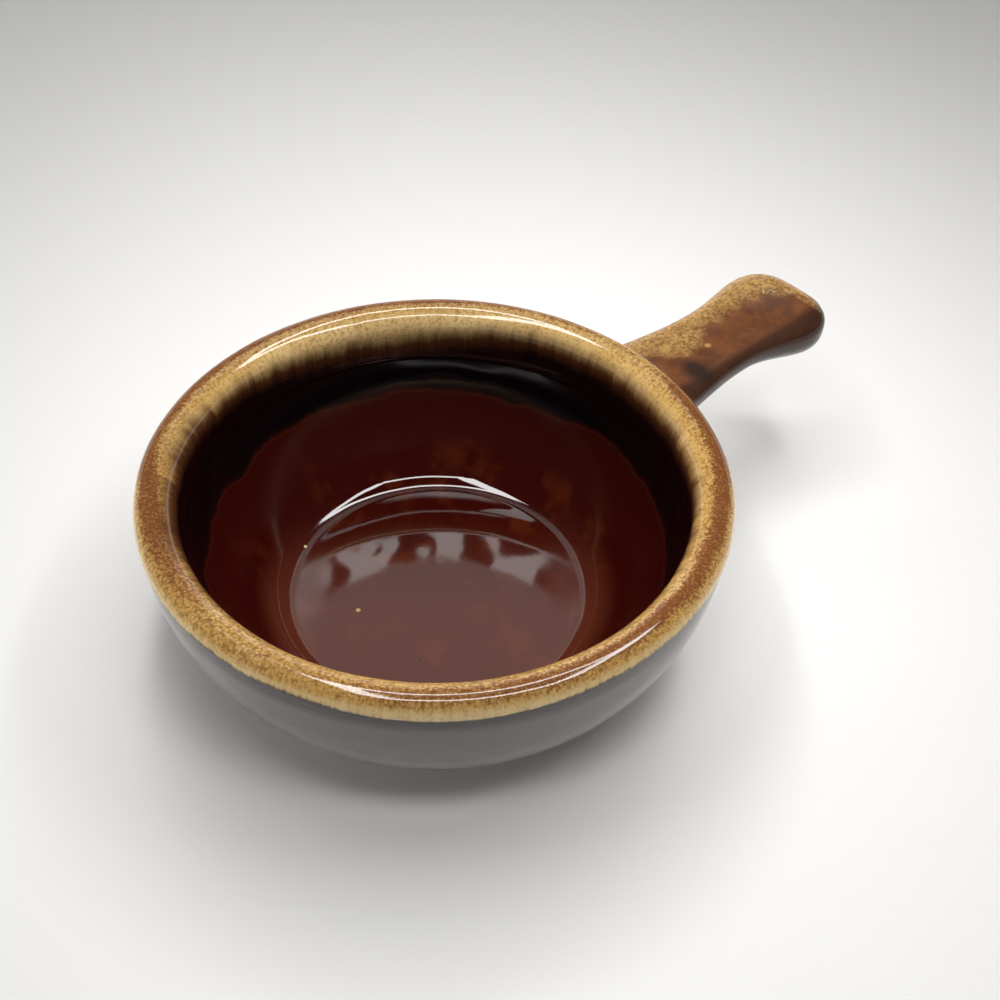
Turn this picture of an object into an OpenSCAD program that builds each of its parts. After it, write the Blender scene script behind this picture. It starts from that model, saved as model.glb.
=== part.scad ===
// Soup bowl with one stick handle, fired stoneware with a brown glaze and a tan drip glaze.
// Millimetres. The bowl stands on its foot ring at z = 0 with its axis on Z, and the handle
// points along +X. The clay pieces are given bare, and each coat of glaze lies on the clay or on
// the coat below it, face to face.

/* [Rim and wall] */
// Diameter over the rim, bare clay
rim_d = 131.6; // [110:0.2:170]
// Height from the table to the crown of the rim, bare clay
bowl_h = 49.1; // [44:0.1:60]
// Radius of the rim's outer shoulder
rim_out_round = 2.5; // [1.5:0.1:3.5]
// Radius of the rim's inner shoulder
rim_in_round = 4.8; // [3:0.1:6]
// Depth below the crown to which the outside wall pulls straight down
wall_line = 14.4; // [10:0.1:18]
// Distance that the belly's curve is drawn in from the rim
belly_in = 2.1; // [1:0.1:6]
// Height of the belly's curve above the table
belly_z = 15.0; // [12:0.1:20]
// Depth below the crown to which the inside wall pulls straight down
inner_line = 18.0; // [14:0.1:22]
// Hollow of the inside wall under the rim
lip_under = 0.9; // [0:0.1:2]

/* [Floor] */
// Diameter of the ring where the inside wall meets the cove
cove_d = 80.6; // [70:0.2:90]
// Width of the cove between the wall and the flat floor
cove_w = 5.2; // [3:0.1:8]
// Radius of the cove
cove_round = 8.5; // [8:0.5:30]
// Height of the flat floor above the table, bare clay
floor_z = 7.6; // [7:0.1:12]
// Lead of the wall's curve outward from the cove
cove_lead_w = 9.0; // [6:0.1:14]
// Lead of the wall's curve upward from the cove
cove_lead_h = 7.4; // [4:0.1:10]

/* [Foot] */
// Outer diameter of the foot ring
foot_d = 78.4; // [60:0.2:82]
// Width of the foot ring
foot_w = 4.4; // [3:0.1:8]
// Height of the foot ring
foot_h = 3.6; // [2.5:0.1:4]
// Chamfer on the foot ring's edges at the table
foot_chamfer = 0.7; // [0.3:0.1:1]
// Ledge of the underside outside the foot ring
foot_ledge = 1.0; // [0.5:0.1:2]
// Bare clay left above the table when the foot is wiped
foot_wipe = 1.0; // [1:0.1:1.6]

/* [Handle] */
// Distance from the bowl's axis to the end of the handle
handle_reach = 123.5; // [105:0.5:150]
// Width of the handle at the wall
handle_root_w = 29.6; // [24:0.2:34]
// Width of the handle at its waist
handle_waist_w = 22.0; // [18:0.2:28]
// Width of the handle's flared end
handle_end_w = 30.4; // [24:0.2:36]
// Depth of the handle at the wall
handle_root_t = 9.6; // [8:0.1:12]
// Depth of the handle at its waist
handle_waist_t = 8.2; // [7:0.1:12]
// Depth of the handle's flared end
handle_end_t = 13.6; // [9:0.1:14]
// Depth of the handle's top face below the crown, at the wall
handle_drop = 4.2; // [3.6:0.1:8]
// Rise of the top face from the wall to the end
handle_rise = 4.4; // [0:0.1:12]
// Depth of the thumb hollow along the top face
dish_depth = 1.1; // [0:0.1:1.6]
// Length of the luting fillet along the handle
luting_l = 4.5; // [3:0.1:7]
// Stand of the luting fillet round the handle at the wall
luting_t = 2.0; // [1:0.1:2.5]

/* [Glaze] */
// Thickness of the brown glaze
glaze_t = 0.5; // [0.3:0.05:0.8]
// Thickness of the tan drip glaze over the brown
drip_t = 0.4; // [0.2:0.05:0.6]
// Depth of the drip glaze below the crown, inside
drip_in = 10.0; // [8:0.1:14]
// Depth of the drip glaze below the crown, outside
drip_out = 3.4; // [2.8:0.1:9]

/* [Hidden] */
$fn = 128;
half_turn = 180;
quarter_turn = 90;
// Points along each curve of the profile
n_wall = 22;
n_round = 7;
n_cove = 5;
// Radii taken from the diameters
rim_r = rim_d / 2;
crown_r = rim_r - rim_out_round;
mouth_r = crown_r - rim_in_round;
cove_r = cove_d / 2;
floor_r = cove_r - cove_w;
cove_h = cove_round - sqrt(cove_round * cove_round - cove_w * cove_w);
foot_r = foot_d / 2;
foot_in_r = foot_r - foot_w;
ledge_r = foot_r + foot_ledge;
// Handle: height of its top face at the wall, its length from the wall, and where its forms begin as
// shares of that length
handle_z = bowl_h - handle_drop;
handle_l = handle_reach - rim_r;
root_in = mouth_r / 12;
waist_share = 0.44;
flare_share = 0.9;
end_share = 0.71;
nose_share = 0.87;
// How square the end and the section are: 2 is an ellipse, more is squarer
end_square = 2.6;
top_square = 3.2;
under_square = 2.2;
// Share of the handle's depth that lies above its widest line
top_share = 0.36;
// Share of the half width that the thumb hollow takes, and its run along the handle
dish_share = 0.92;
dish_start_share = 0.02;
dish_end_share = 0.97;
dish_blend_share = 0.34;
tip_share = 0.9998;
n_section = 40;
n_root = 4;
n_length = 24;
// Drip glaze on the handle: outline in shares of the handle's length and of its end half width
drip_outline_shares = [[0.08, 1.3], [0.08, 0.42], [0.3, 0.36], [0.5, 0.34], [0.68, 0.36], [0.8, 0.3],
    [0.88, 0.05], [0.93, -0.4], [0.99, -0.62], [1.1, -0.7], [1.2, 1.3]];

function smooth(x) = let(c = min(1, max(0, x))) c * c * (3 - 2 * c);
function power(x, e) = sign(x) * pow(abs(x), e);
function reverse(list) = [for (i = [len(list) - 1:-1:0]) list[i]];
function slice(list, first, last) = [for (i = [first:1:last]) list[i]];
function unit(v) = v / norm(v);
// Point at t on the curve with four control points
function curve(p, t) = pow(1 - t, 3) * p[0] + 3 * pow(1 - t, 2) * t * p[1]
    + 3 * (1 - t) * t * t * p[2] + pow(t, 3) * p[3];

// Clay profile as [radius, height], from the foot's wiped line over the rim to the floor's centre
belly_points = [[ledge_r, foot_h], [rim_r - belly_in, belly_z],
    [rim_r, bowl_h - wall_line], [rim_r, bowl_h - rim_out_round]];
inner_points = [[mouth_r, bowl_h - rim_in_round], [mouth_r + lip_under, bowl_h - inner_line],
    [cove_r + cove_lead_w, floor_z + cove_h + cove_lead_h], [cove_r, floor_z + cove_h]];
foot_path = [[foot_r, foot_wipe], [foot_r, foot_h]];
belly_path = [for (i = [0:n_wall]) curve(belly_points, i / n_wall)];
shoulder_path = [for (i = [1:n_round]) let(a = 90 * i / n_round)
    [crown_r + rim_out_round * cos(a), bowl_h - rim_out_round + rim_out_round * sin(a)]];
lip_path = [for (i = [1:n_round]) let(a = 90 + 90 * i / n_round)
    [crown_r + rim_in_round * cos(a), bowl_h - rim_in_round + rim_in_round * sin(a)]];
inner_path = [for (i = [1:n_wall]) curve(inner_points, i / n_wall)];
cove_path = [for (i = [1:n_cove]) let(w = cove_w * (1 - i / n_cove))
    [floor_r + w, floor_z + cove_round - sqrt(cove_round * cove_round - w * w)]];
clay_path = concat(foot_path, belly_path, shoulder_path, lip_path, inner_path, cove_path, [[0, floor_z]]);
// Places along the clay path
belly_at = len(foot_path);
crown_at = belly_at + n_wall + n_round;
floor_at = len(clay_path) - 1;

// Outward normal of a path that runs with the clay on its left, mitred at each point
function edge_normal(path, i) = let(d = unit(path[i + 1] - path[i])) [d[1], -d[0]];
function path_normal(path, i) = i == 0 ? edge_normal(path, 0)
    : i == len(path) - 1 ? edge_normal(path, i - 1)
    : let(a = edge_normal(path, i - 1), b = edge_normal(path, i)) (a + b) / (1 + a * b);
clay_normals = [for (i = [0:floor_at]) path_normal(clay_path, i)];
// The same path on top of the brown glaze
glaze_path = [for (i = [0:floor_at]) clay_path[i] + glaze_t * clay_normals[i]];
// Path over the underside, from the foot's wiped line inside the ring to the centre
base_path = [[foot_in_r, foot_wipe], [foot_in_r, foot_h], [0, foot_h]];
base_glaze_path = [[foot_in_r - glaze_t, foot_wipe], [foot_in_r - glaze_t, foot_h - glaze_t], [0, foot_h - glaze_t]];

// Drip glaze: from its edge outside to its edge inside, full in the middle and thin at its edges
drip_places = [for (i = [belly_at:floor_at])
    if (clay_path[i][1] > bowl_h - (i < crown_at ? drip_out : drip_in)) i];
drip_first = drip_places[0];
drip_last = drip_places[len(drip_places) - 1];
drip_edge_share = 0.3;
drip_ramp_share = 0.2;
function drip_at(i) = let(x = (i - drip_first) / (drip_last - drip_first))
    drip_t * (drip_edge_share + (1 - drip_edge_share) * smooth(min(x, 1 - x) / drip_ramp_share));

// Handle sizes at the share t of its length. Through the two glazes on the wall they stay the same, so that
// the handle and its luting pass straight through them
straight_l = glaze_t + drip_t;
straight_share = straight_l / handle_l;
function root_blend(t) = t < waist_share
    ? pow((waist_share - max(t, straight_share)) / (waist_share - straight_share), 2) : 0;
function flare_blend(t) = smooth((t - waist_share) / (flare_share - waist_share));
function along(t, root, waist, end) = waist + (root - waist) * root_blend(t) + (end - waist) * flare_blend(t);
function end_round(t) = t < end_share ? 1
    : pow(max(0, 1 - pow((t - end_share) / (1 - end_share), end_square)), 1 / end_square);
function nose_round(t) = t < nose_share ? 1
    : sqrt(max(0, 1 - pow((t - nose_share) / (1 - nose_share), 2)));
function dish(t) = dish_depth * smooth((t - dish_start_share) / dish_blend_share)
    * smooth((dish_end_share - t) / dish_blend_share);
// Share of the wall's curve that a ring of the handle follows: all in the luting, none past it
function wall_follow(s) = 1 - smooth((s - luting_l) / (2 * luting_l));
// One ring of the handle at the distance s from the wall, grown by g on every side
function ring(s, g) = let(
    t = s / handle_l,
    half_w = (along(t, handle_root_w, handle_waist_w, handle_end_w) / 2 + g) * end_round(t),
    depth = along(t, handle_root_t, handle_waist_t, handle_end_t),
    over = (depth * top_share + g) * nose_round(t),
    under = (depth * (1 - top_share) + g) * nose_round(t),
    mid_z = handle_z + handle_rise * max(t, straight_share) - depth * top_share,
    x = rim_r + (s > luting_l ? s + g * (s - luting_l) / (handle_l - luting_l) : s))
    [for (i = [0:n_section - 1]) let(
        a = 360 * i / n_section,
        up = sin(a) > 0,
        y = half_w * power(cos(a), 2 / (up ? top_square : under_square)),
        hollow = up ? dish(t) * pow(max(0, 1 - pow(y / (half_w * dish_share), 2)), 2) : 0,
        z = mid_z + (up ? over : under) * power(sin(a), 2 / (up ? top_square : under_square)) - hollow)
        [x - wall_follow(s) * (x - sqrt(x * x - y * y)), y, z]];
// Distances of the rings: in the wall, through the luting, then closer towards the end
root_stations = concat([-root_in], [for (i = [0:n_root]) straight_l + (luting_l - straight_l) * i / n_root]);
length_stations = [for (i = [1:n_length]) let(x = 1 - pow(1 - i / n_length, 1.8))
    luting_l + (handle_l * tip_share - luting_l) * x];
stations = concat(root_stations, length_stations);
// Stand of the luting at the distance s from the wall
function luting_at(s) = s > luting_l ? 0
    : luting_t * pow(1 - max(s - straight_l, 0) / (luting_l - straight_l), 2);

// Faces between rings of n points each, from ring a to ring b, outward for a solid that runs along +X
function skin(a, b, n) = [for (k = [a:b - 1], i = [0:n - 1]) let(j = (i + 1) % n)
    [k * n + i, k * n + j, (k + 1) * n + j, (k + 1) * n + i]];
function cap(k, n) = [for (i = [0:n - 1]) k * n + i];
function tris(quads) = [for (q = quads, t = [[q[0], q[1], q[2]], [q[0], q[2], q[3]]]) t];

module turned(points) {
    // the seam of the turned faces lies opposite the handle
    rotate([0, 0, half_turn]) rotate_extrude() polygon(points);
}

// Closed solid through rings of points
module lofted(rings) {
    count = len(rings);
    polyhedron(points = [for (r = rings, p = r) p],
        faces = concat([reverse(cap(0, n_section))], tris(skin(0, count - 1, n_section)),
            [cap(count - 1, n_section)]));
}

// Shell between two lofts with the same number of rings, open ends closed at the wall
module shell(outer, inner) {
    count = len(outer);
    n = n_section;
    join = [for (i = [0:n - 1]) let(j = (i + 1) % n) [i, count * n + i, count * n + j, j]];
    inner_skin = [for (f = tris(skin(0, count - 1, n))) [for (v = reverse(f)) v + count * n]];
    polyhedron(points = [for (r = concat(outer, inner), p = r) p],
        faces = concat(tris(skin(0, count - 1, n)), [cap(count - 1, n)], inner_skin,
            [reverse(cap(2 * count - 1, n))], tris(join)));
}

// Collar between two lofts that meet in their last ring
module collar(outer, inner) {
    count = len(outer);
    n = n_section;
    both = concat(outer, slice(inner, 0, count - 2));
    // the inner skin runs over its own rings, then onto the shared last ring
    function at(k, i) = k == count - 1 ? k * n + i : (count + k) * n + i;
    inner_skin = [for (k = [0:count - 2], i = [0:n - 1]) let(j = (i + 1) % n)
        [at(k, i), at(k + 1, i), at(k + 1, j), at(k, j)]];
    join = [for (i = [0:n - 1]) let(j = (i + 1) % n) [i, count * n + i, count * n + j, j]];
    polyhedron(points = [for (r = both, p = r) p],
        faces = concat(tris(skin(0, count - 1, n)), tris(inner_skin), tris(join)));
}

// Straight bar with the outline of the handle and its luting at the wall, grown by g
module luting_outline(g) {
    translate([rim_r - root_in, 0, 0]) rotate([quarter_turn, 0, quarter_turn])
        linear_extrude(height = 2 * root_in)
            polygon([for (p = ring(0, luting_t + g)) [p[1], p[2]]]);
}

// Everything inside the outside wall, of bare clay or of clay with its brown glaze
module wall_solid(path) {
    turned(concat([[0, path[belly_at][1]]], slice(path, belly_at, crown_at), [[0, path[crown_at][1]]]));
}

// Bowl: floor, wall and rim in one, turned or jiggered
module bowl_body() {
    color("#8d8478") turned(concat([[0, foot_h]], slice(clay_path, belly_at, floor_at)));
}

// Foot ring under the floor, with its edges eased
module foot_ring() {
    color("#b3a797") turned([[foot_in_r, foot_chamfer], [foot_in_r + foot_chamfer, 0],
        [foot_r - foot_chamfer, 0], [foot_r, foot_chamfer], [foot_r, foot_h], [foot_in_r, foot_h]]);
}

// Stick handle, pressed on its own and cut to the wall's curve
module handle() {
    color("#8d8478") difference() {
        lofted([for (s = stations) ring(s, 0)]);
        wall_solid(clay_path);
    }
}

// Fillet of slip that lutes the handle to the wall
module handle_luting() {
    color("#9a9083") difference() {
        collar([for (s = root_stations) ring(s, luting_at(s))], [for (s = root_stations) ring(s, 0)]);
        wall_solid(clay_path);
    }
}

// Brown glaze inside, from the crown down to the floor
module inside_glaze() {
    color("#3a120b") turned(concat(slice(clay_path, crown_at, floor_at),
        reverse(slice(glaze_path, crown_at, floor_at))));
}

// Brown glaze outside, from the foot's wiped line up to the crown, parted round the handle
module outside_glaze() {
    color("#4a3029") difference() {
        turned(concat(slice(clay_path, 0, crown_at), reverse(slice(glaze_path, 0, crown_at))));
        luting_outline(0);
    }
}

// Brown glaze on the underside inside the foot ring
module base_glaze() {
    color("#3f201a") turned(concat(base_path, reverse(base_glaze_path)));
}

// Tan drip glaze over the rim, thick on the shoulders, thin at its edges and parted over the handle
module rim_drip_glaze() {
    color("#b58a4f") difference() {
        turned(concat(slice(glaze_path, drip_first, drip_last),
            [for (i = [drip_last:-1:drip_first]) glaze_path[i] + drip_at(i) * clay_normals[i]]));
        luting_outline(glaze_t);
    }
}

// Brown glaze round the handle and its luting
module handle_glaze() {
    color("#4b2f26") difference() {
        shell([for (s = stations) ring(s, luting_at(s) + glaze_t)],
            [for (s = stations) ring(s, luting_at(s))]);
        wall_solid(glaze_path);
    }
}

// Tan drip glaze along one ridge of the handle and across its end
module handle_drip_glaze() {
    color("#a87a42") intersection() {
        shell([for (s = stations) ring(s, luting_at(s) + glaze_t + drip_t)],
            [for (s = stations) ring(s, luting_at(s) + glaze_t)]);
        translate([0, 0, handle_z - handle_root_t])
            linear_extrude(height = handle_root_t + handle_end_t)
                polygon([for (p = drip_outline_shares)
                    [rim_r + p[0] * handle_l, p[1] * handle_end_w / 2]]);
    }
}

bowl_body();
foot_ring();
handle();
handle_luting();
inside_glaze();
outside_glaze();
base_glaze();
rim_drip_glaze();
handle_glaze();
handle_drip_glaze();
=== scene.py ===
"""Glazed stoneware soup bowl with one stick handle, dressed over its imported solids.

Lengths in the template functions are millimetres, meshes are metres. The bowl's axis is Z, the handle runs
along +X, and the bowl stands on z = 0.
"""

import math
from functools import cache

import bmesh
import bpy
from bpy.props import FloatProperty, FloatVectorProperty, IntProperty, PointerProperty
from mathutils import Matrix, Vector, noise


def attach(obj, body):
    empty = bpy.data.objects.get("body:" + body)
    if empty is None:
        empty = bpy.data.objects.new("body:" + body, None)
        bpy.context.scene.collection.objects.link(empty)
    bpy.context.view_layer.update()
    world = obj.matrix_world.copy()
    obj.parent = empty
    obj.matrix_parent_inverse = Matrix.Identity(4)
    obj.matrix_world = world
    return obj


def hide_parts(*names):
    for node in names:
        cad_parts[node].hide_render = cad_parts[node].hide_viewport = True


bl_info = {
    "name": "Glazed Soup Bowl",
    "version": (1, 0, 0),
    "blender": (4, 5, 0),
    "location": "View3D > Sidebar > Soup Bowl",
    "description": "Makes the glaze coats, foot and luting of a stick-handled soup bowl over its solids",
    "category": "Add Mesh",
}

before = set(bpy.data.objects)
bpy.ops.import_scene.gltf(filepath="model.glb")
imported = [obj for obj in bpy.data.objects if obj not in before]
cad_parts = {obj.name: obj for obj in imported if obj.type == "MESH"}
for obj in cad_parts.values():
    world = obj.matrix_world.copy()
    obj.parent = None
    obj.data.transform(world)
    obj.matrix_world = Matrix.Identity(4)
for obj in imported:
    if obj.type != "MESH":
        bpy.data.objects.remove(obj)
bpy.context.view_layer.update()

MM = 0.001
TAU = 2 * math.pi


def length(name, text, millimetres):
    return FloatProperty(name=name, description=text, default=millimetres * MM, unit="LENGTH", precision=5)


def colour(name, text, red, green, blue):
    return FloatVectorProperty(
        name=name, description=text, default=(red, green, blue), size=3, min=0, max=1, subtype="COLOR"
    )


def brightness(name, text, level):
    return FloatProperty(name=name, description="Brightness of " + text, default=level, min=0)


class BowlSizes(bpy.types.PropertyGroup):
    """Sizes of the bare clay and its glaze, as in the part's source."""

    rim_d: length("Rim diameter", "Over the rim, bare clay", 131.6)
    bowl_h: length("Height", "From the table to the crown of the rim, bare clay", 49.1)
    rim_out_round: length("Outer shoulder", "Radius of the rim's outer shoulder", 2.5)
    rim_in_round: length("Inner shoulder", "Radius of the rim's inner shoulder", 4.8)
    wall_line: length(
        "Outside pull", "Depth below the crown to which the outside wall pulls straight down", 14.4
    )
    belly_in: length("Belly in", "Distance that the belly's curve is drawn in from the rim", 2.1)
    belly_z: length("Belly height", "Height of the belly's curve above the table", 15.0)
    inner_line: length(
        "Inside pull", "Depth below the crown to which the inside wall pulls straight down", 18.0
    )
    lip_under: length("Lip hollow", "Hollow of the inside wall under the rim", 0.9)
    cove_d: length("Cove diameter", "Where the inside wall meets the cove", 80.6)
    cove_w: length("Cove width", "Between the wall and the flat floor", 5.2)
    cove_round: length("Cove radius", "Radius of the cove", 8.5)
    floor_z: length("Floor height", "Height of the flat floor above the table, bare clay", 7.6)
    cove_lead_w: length("Cove lead out", "Lead of the wall's curve outward from the cove", 9.0)
    cove_lead_h: length("Cove lead up", "Lead of the wall's curve upward from the cove", 7.4)
    foot_d: length("Foot diameter", "Outer diameter of the foot ring", 78.4)
    foot_w: length("Foot width", "Width of the foot ring", 4.4)
    foot_h: length("Foot height", "Height of the foot ring", 3.6)
    foot_chamfer: length("Foot chamfer", "On the foot ring's edges at the table", 0.7)
    foot_ledge: length("Foot ledge", "Ledge of the underside outside the foot ring", 1.0)
    foot_wipe: length("Foot wipe", "Bare clay left above the table when the foot is wiped", 1.0)
    handle_reach: length("Handle reach", "From the bowl's axis to the end of the handle", 123.5)
    handle_root_w: length("Handle width at the wall", "Bare clay", 29.6)
    handle_waist_w: length("Handle width at the waist", "Bare clay", 22.0)
    handle_end_w: length("Handle width at the end", "Bare clay", 30.4)
    handle_root_t: length("Handle depth at the wall", "Bare clay", 9.6)
    handle_waist_t: length("Handle depth at the waist", "Bare clay", 8.2)
    handle_end_t: length("Handle depth at the end", "Bare clay", 13.6)
    handle_drop: length("Handle drop", "Depth of the handle's top face below the crown, at the wall", 4.2)
    handle_rise: length("Handle rise", "Rise of the top face from the wall to the end", 4.4)
    dish_depth: length("Thumb hollow", "Depth of the thumb hollow along the top face", 1.1)
    luting_l: length("Luting length", "Length of the luting fillet along the handle", 4.5)
    fillet: length("Fillet", "Stand of the glazed fillet round the handle at the wall", 3.4)
    fillet_top: length("Fillet on top", "Stand of the glazed fillet over the handle at the rim", 2.3)
    glaze_t: length("Brown glaze", "Thickness of the brown glaze", 0.5)
    drip_t: length("Drip glaze", "Thickness of the tan drip glaze over the brown", 0.4)
    wave: length("Glaze wave", "Height of the slow waves in the brown glaze", 0.07)
    wave_l: length("Wave length", "Length of the slow waves in the brown glaze", 15)
    pool_calm: FloatProperty(
        name="Floor calm", description="How far the waves level out on the floor", default=0.8
    )
    round_steps: IntProperty(
        name="Steps round", description="Faces round the turned pieces", default=256, min=32, max=512
    )


class GlazeColours(bpy.types.PropertyGroup):
    """Colours of the clay and of the two glazes."""

    clay: colour("Clay", "Fired clay", 0.47, 0.40, 0.32)
    slip: colour("Slip", "Luting slip", 0.46, 0.42, 0.37)
    # near black: the glaze's own dark band under the rim, with painted shade under the lip
    black: colour("Black", "Brown glaze where it is deepest, under the rim", 0.0025, 0.0012, 0.0018)
    mahogany: colour("Mahogany", "Brown glaze down the inside wall", 0.032, 0.0022, 0.0012)
    chestnut: colour("Chestnut", "Brown glaze on the floor", 0.085, 0.017, 0.008)
    orange: colour("Orange", "Brown glaze where it breaks thin", 0.17, 0.035, 0.007)
    # also used for the painted shade and dark reflection in the hollow at the handle's root
    ink: colour("Dark edge", "Brown glaze pooled at the drip's edge and in hollows", 0.022, 0.011, 0.009)
    # grey brown: the outside glaze's brown with the table's reflection painted in as grey
    outer: colour("Outer brown", "Brown glaze outside", 0.115, 0.098, 0.092)
    crown: colour("Crown brown", "Brown glaze over the crown and the handle", 0.155, 0.054, 0.018)
    toffee: colour("Toffee", "Drip glaze sunk into the brown", 0.20, 0.088, 0.024)
    golden: colour("Golden", "Drip glaze where it is thin and mottled", 0.47, 0.285, 0.088)
    cream: colour("Cream", "Drip glaze where it is thick", 0.69, 0.51, 0.24)


class StudioSettings(bpy.types.PropertyGroup):
    """The pale table and the soft light."""

    sky: brightness("Back wall", "the pale wall behind the table", 0.85)
    strip: brightness("Strip", "the broken strip under the ceiling", 2.8)
    low_light: brightness("Low light", "the soft light from low down", 7.0)
    near_light: brightness("Near light", "the soft light above the near side", 11.0)
    far_light: brightness("Far light", "the soft light above the far side", 1.5)
    dark: brightness("Dark room", "the rest of the room", 0.02)
    glow: brightness("Lamp frame", "the tubes in the frame overhead", 14.9)
    back_glow: brightness("Back tube", "the tube behind the table", 3.2)
    table: colour("Table", "Colour of the table", 0.90, 0.89, 0.87)


def sizes():
    """The bowl's sizes in millimetres, by name."""
    kept = bpy.context.scene.bowl_sizes
    plain = ("round_steps", "pool_calm")
    values = {n: getattr(kept, n) for n in BowlSizes.__annotations__}
    return type("Sizes", (), {n: v if n in plain else v / MM for n, v in values.items()})


# Template of the turned wall


def smooth(x):
    x = min(1.0, max(0.0, x))
    return x * x * (3 - 2 * x)


def blend(a, b, share):
    return a + (b - a) * share


def bezier(points, t):
    weights = ((1 - t) ** 3, 3 * (1 - t) ** 2 * t, 3 * (1 - t) * t * t, t**3)
    return Vector([sum(w * p[k] for w, p in zip(weights, points)) for k in (0, 1)])


def eased(before, corner, after, size, count=5):
    """Points that round a corner of a path."""
    a = corner + (before - corner).normalized() * size
    b = corner + (after - corner).normalized() * size
    curve = (a, a.lerp(corner, 2 / 3), b.lerp(corner, 2 / 3), b)
    return [bezier(curve, i / count) for i in range(count + 1)]


# The drip glaze lies between these distances from the crown, and thins out over these lengths
DRIP_FROM, DRIP_TO = -6.0, 17.0
DRIP_OUT_EDGE, DRIP_IN_EDGE = 1.6, 7.5


class Template:
    """Path over the bare clay and over its brown glaze, [radius, height], from the wiped line on the foot
    over the rim to the floor's centre. run is the distance along the glaze from the crown, more inside."""

    def __init__(self, s):
        rim_r, top = s.rim_d / 2, s.bowl_h
        crown_r = rim_r - s.rim_out_round
        mouth_r = crown_r - s.rim_in_round
        cove_r, foot_r = s.cove_d / 2, s.foot_d / 2
        floor_r = cove_r - s.cove_w
        cove_h = s.cove_round - math.sqrt(s.cove_round**2 - s.cove_w**2)
        belly = (
            (foot_r + s.foot_ledge, s.foot_h),
            (rim_r - s.belly_in, s.belly_z),
            (rim_r, top - s.wall_line),
            (rim_r, top - s.rim_out_round),
        )
        inner = (
            (mouth_r, top - s.rim_in_round),
            (mouth_r + s.lip_under, top - s.inner_line),
            (cove_r + s.cove_lead_w, s.floor_z + cove_h + s.cove_lead_h),
            (cove_r, s.floor_z + cove_h),
        )

        def shoulder(radius, start, steps):
            turns = [start + math.pi / 2 * i / steps for i in range(1, steps + 1)]
            return [Vector((crown_r + radius * math.cos(a), top + radius * (math.sin(a) - 1))) for a in turns]

        path = [Vector((foot_r, s.foot_wipe)), Vector((foot_r, s.foot_h))]
        wall, edge, lip, cove, floor = 56, 10, 16, 12, 30
        path += [bezier(belly, i / wall) for i in range(wall + 1)]
        path += shoulder(s.rim_out_round, 0, edge)
        self.crown = len(path) - 1
        path += shoulder(s.rim_in_round, math.pi / 2, lip)
        path += [bezier(inner, i / wall) for i in range(1, wall + 1)]
        for i in range(1, cove + 1):
            w = s.cove_w * (1 - i / cove)
            path.append(Vector((floor_r + w, s.floor_z + s.cove_round - math.sqrt(s.cove_round**2 - w * w))))
        path += [Vector((floor_r * (1 - i / floor), s.floor_z)) for i in range(1, floor + 1)]
        self.clay = path
        self.normal = [self.mitre(i) for i in range(len(path))]
        self.glaze = [p + n * s.glaze_t for p, n in zip(path, self.normal)]
        run = [0.0]
        for a, b in zip(self.glaze, self.glaze[1:]):
            run.append(run[-1] + (b - a).length)
        self.run = [r - run[self.crown] for r in run]
        self.sizes = s

    def mitre(self, i):
        """Direction out of the clay at a place, long enough that the glaze keeps its thickness."""
        path = self.clay

        def edge(k):
            d = (path[k + 1] - path[k]).normalized()
            return Vector((d.y, -d.x))

        if i == 0:
            return edge(0)
        if i == len(path) - 1:
            return edge(i - 1)
        a, b = edge(i - 1), edge(i)
        return (a + b) / (1 + a.dot(b))

    def between(self, first, last):
        """Places on the path whose run lies between two distances from the crown."""
        return [i for i, r in enumerate(self.run) if first <= r <= last]

    def drip_at(self, run):
        """Thickness of the drip glaze at a distance from the crown."""
        share = smooth((run - DRIP_FROM) / DRIP_OUT_EDGE) * smooth((DRIP_TO - run) / DRIP_IN_EDGE)
        return self.sizes.drip_t * share

    def wall_at(self, z):
        """Radius of the glazed outside at a height, drip glaze included, and the run there."""
        for i in range(3, self.crown):
            a, b = self.glaze[i], self.glaze[i + 1]
            if a.y <= z <= b.y:
                t = (z - a.y) / max(b.y - a.y, 1e-9)
                run = blend(self.run[i], self.run[i + 1], t)
                out = self.normal[i]
                return blend(a.x, b.x, t) + self.drip_at(run) * out.x, run
        return self.glaze[self.crown].x, 0.0


# Waves of the brown glaze: how fast each repeats, its share, and its place in the noise
WAVES = ((1.0, 1.0, (3.1, 7.7, 1.3)), (2.1, 0.45, (9.2, 1.4, 5.5)))


def glaze_wave(point, s, calm=0.0):
    """Slow waves of the brown glaze at a point, in millimetres."""
    p = point / s.wave_l
    wave = sum(share * noise.noise(p * often + Vector(shift)) for often, share, shift in WAVES)
    return s.wave * wave * (1 - calm)


# Meshes


def add_object(name, data):
    made = bpy.data.objects.new(name, data)
    bpy.context.scene.collection.objects.link(made)
    return made


def weld(bm):
    bmesh.ops.remove_doubles(bm, verts=bm.verts, dist=1e-4)
    bmesh.ops.recalc_face_normals(bm, faces=bm.faces)


def finished(bm, name, node_names, material):
    """Turns a bmesh in millimetres into a piece of the bowl."""
    weld(bm)
    bmesh.ops.dissolve_degenerate(bm, edges=bm.edges, dist=1e-5)
    bmesh.ops.recalc_face_normals(bm, faces=bm.faces)
    loose = [e for e in bm.edges if not e.is_manifold]
    if loose:
        raise RuntimeError(f"{name} is open at {len(loose)} edges")
    bmesh.ops.scale(bm, vec=(MM, MM, MM), verts=bm.verts)
    for f in bm.faces:
        f.smooth = True
    mesh = bpy.data.meshes.new(name)
    bm.to_mesh(mesh)
    bm.free()
    piece = add_object(name, mesh)
    mesh.materials.append(material)
    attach(piece, "root")
    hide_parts(*node_names)
    return piece


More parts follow.
